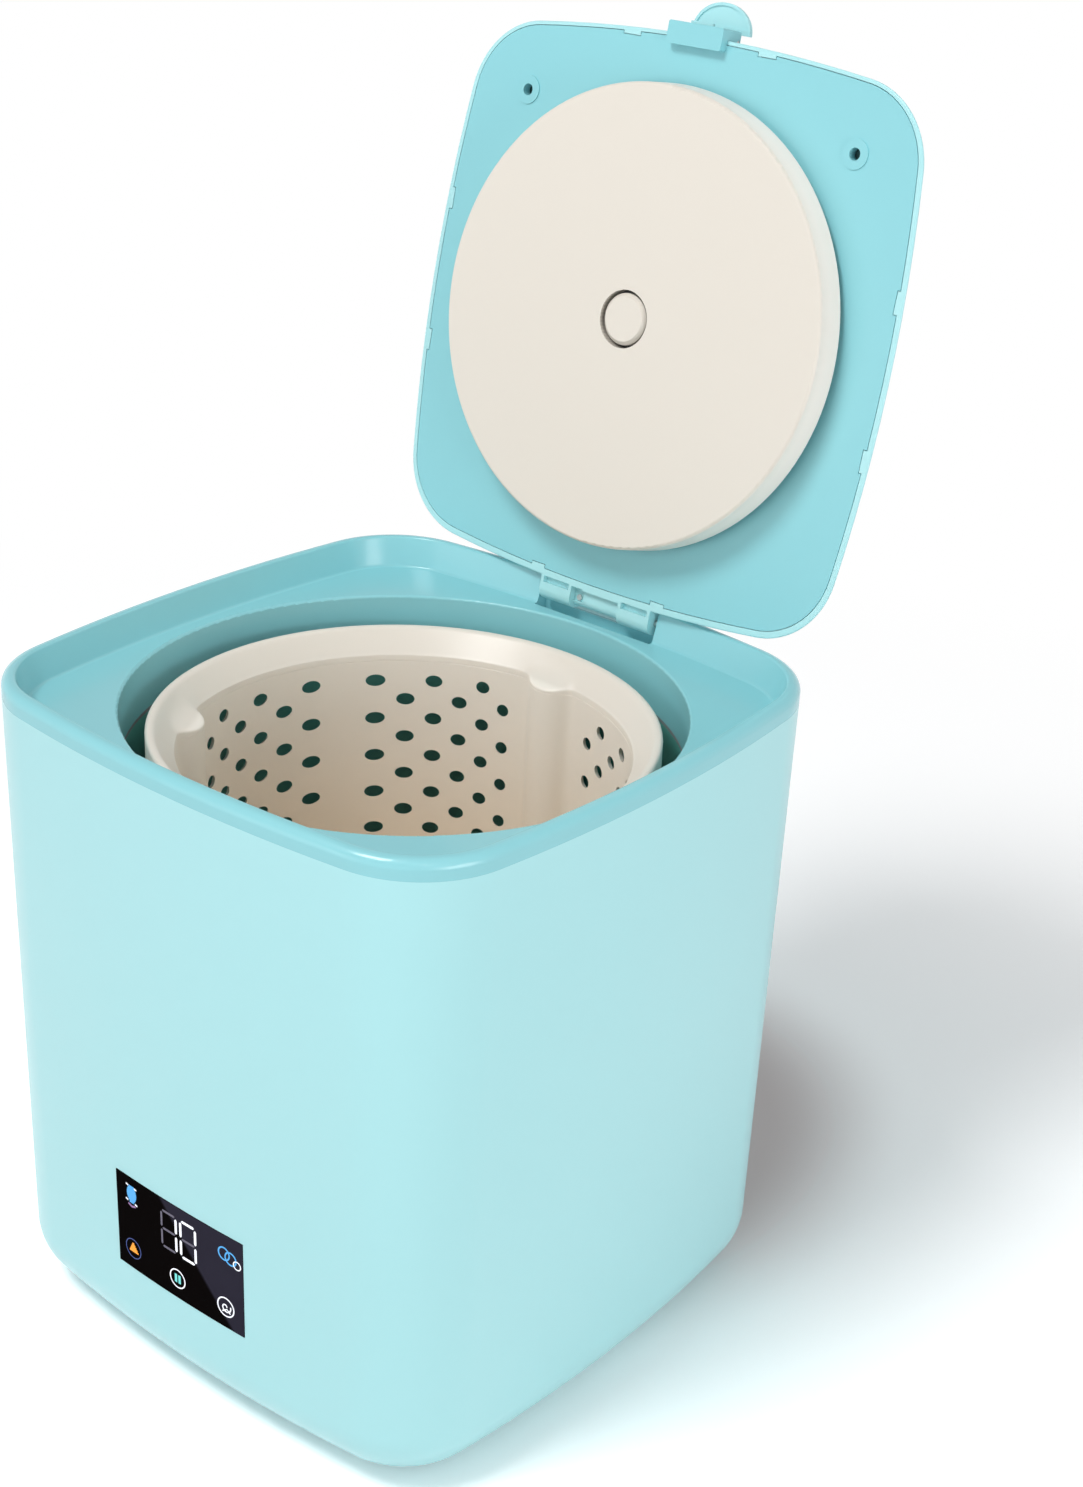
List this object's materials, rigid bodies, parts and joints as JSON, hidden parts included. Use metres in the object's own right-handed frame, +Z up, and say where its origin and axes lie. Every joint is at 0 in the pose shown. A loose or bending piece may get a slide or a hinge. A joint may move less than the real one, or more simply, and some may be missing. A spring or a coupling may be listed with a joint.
{
  "type": "portable washing machine",
  "caption": "Small top-loading washing machine: rounded square body, flip-up lid with turning spin cover, perforated basket with inward vanes, touch display.",
  "frame": {"origin": "on the floor under the basket's axis, at the middle of the body", "axes": "+X to the right and +Y to the back as seen by the user in front, +Z up; the lid is stored open and leans back over the rear edge"},
  "size_m": [0.26, 0.3167, 0.5266],
  "materials": {
    "pale_blue_shell": "glossy",
    "aqua_cover": "glossy",
    "aqua_panel": "satin",
    "cream_plastic": "satin",
    "beige_basket": "satin",
    "black_glass": "glossy",
    "tub_grey": "matt",
    "dark_plastic": "matt",
    "grey_plastic": "matt",
    "circuit_green": "satin",
    "steel": "brushed",
    "motor_steel": "satin",
    "black_rubber": "matt",
    "grey_rubber": "matt"
  },
  "bodies": {
    "cabinet": {"outer_shell": "pale_blue_shell", "top_cover": "aqua_cover", "base_plate": "grey_plastic", "base_screws": "steel", "foot_front_left": "black_rubber", "foot_front_right": "black_rubber", "foot_rear_left": "black_rubber", "foot_rear_right": "black_rubber", "wash_tub": "tub_grey", "tub_seal": "grey_rubber", "tub_screws": "steel", "lower_bearing": "steel", "upper_bearing": "steel", "shaft_seal": "black_rubber", "motor_bracket": "steel", "bracket_screws": "steel", "motor_screws": "steel", "motor_can": "motor_steel", "drive_belt": "black_rubber", "drain_hose": "black_rubber", "drain_spigot": "grey_plastic", "dc_inlet": "dark_plastic", "power_board": "circuit_green", "display_glass": "black_glass", "led_module": "dark_plastic", "display_board": "circuit_green", "lid_sensor": "dark_plastic"},
    "basket": {"spin_basket": "beige_basket", "balance_ring": "cream_plastic", "drive_shaft": "steel", "basket_nut": "cream_plastic", "driven_pulley": "dark_plastic", "pulley_nut": "steel"},
    "motor_rotor": {"motor_shaft": "steel", "motor_pulley": "dark_plastic"},
    "drain_plug": {"drain_plug": "grey_rubber"},
    "lid": {"lid_outer": "pale_blue_shell", "lid_inner": "aqua_panel", "lid_screws": "steel", "hinge_pin": "steel", "hinge_set_screw": "steel", "lid_magnet": "motor_steel", "cover_cap": "cream_plastic", "latch_pin": "steel", "latch_springs": "steel"},
    "spin_cover": {"spin_cover": "cream_plastic"},
    "latch": {"latch_lever": "pale_blue_shell"}
  },
  "joints": [
    {"name": "lid_hinge", "type": "hinge", "parent": "cabinet", "child": "lid", "pos_m": [0, 0.1242, 0.2788], "axis": [1, 0, 0], "range_deg": [0, 102]},
    {"name": "cover_spin", "type": "hinge", "parent": "lid", "child": "spin_cover", "pos_m": [0, 0.14396, 0.40158], "axis": [0, -0.9781, 0.2079], "continuous": true},
    {"name": "latch_press", "type": "hinge", "parent": "lid", "child": "latch", "pos_m": [0, 0.17586, 0.51318], "axis": [1, 0, 0], "range_deg": [0, 6.5], "stiffness_Nm_per_rad": 0.4, "springref_deg": -4.58},
    {"name": "basket_spin", "type": "hinge", "parent": "cabinet", "child": "basket", "pos_m": [0, 0, 0.11], "axis": [0, 0, 1], "continuous": true},
    {"name": "motor_spin", "type": "hinge", "parent": "cabinet", "child": "motor_rotor", "pos_m": [0.05091, -0.05091, 0.044], "axis": [0, 0, 1], "continuous": true},
    {"name": "plug_pull", "type": "slide", "parent": "cabinet", "child": "drain_plug", "axis": [0, 1, 0], "range_m": [0, 0.025]}
  ],
  "couplings": [
    {"joint": "motor_spin", "follows": "basket_spin", "ratio": 5}
  ]
}
